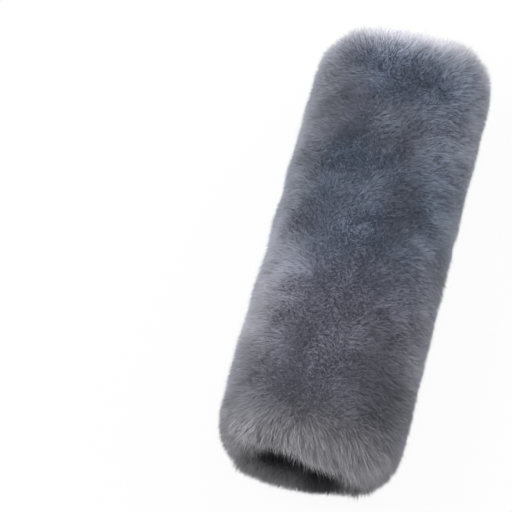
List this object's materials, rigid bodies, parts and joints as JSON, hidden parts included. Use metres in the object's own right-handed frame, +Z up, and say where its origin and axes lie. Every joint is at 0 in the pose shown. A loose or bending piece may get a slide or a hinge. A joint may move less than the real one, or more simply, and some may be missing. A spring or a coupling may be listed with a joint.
{
  "type": "seat belt shoulder pad",
  "caption": "Soft wool pad that wraps round a seat belt as a flat tube, open at both ends and closed along its back by a touch-close fastening.",
  "frame": {"origin": "middle of the footprint, on the surface that the pad lies on", "axes": "+X across the belt, +Y along the belt towards the far mouth, +Z up from the back of the pad to its face"},
  "size_m": [0.0933, 0.2749, 0.0477],
  "materials": {
    "wool": "dense clipped wool pile, dyed slate blue-grey, soft and matt with paler tips",
    "hide": "undyed flesh side of the hide, napped and matt",
    "fastening_tape": "woven nylon touch-close tape, matt",
    "thread": "twisted polyester sewing thread"
  },
  "bodies": {
    "root": {"wool_pile": "wool", "hide_sleeve": "hide", "hook_tape": "fastening_tape", "loop_tape": "fastening_tape", "hook_stitch_row_1": "thread", "hook_stitch_row_2": "thread", "loop_stitch_row_1": "thread", "loop_stitch_row_2": "thread"}
  },
  "joints": []
}
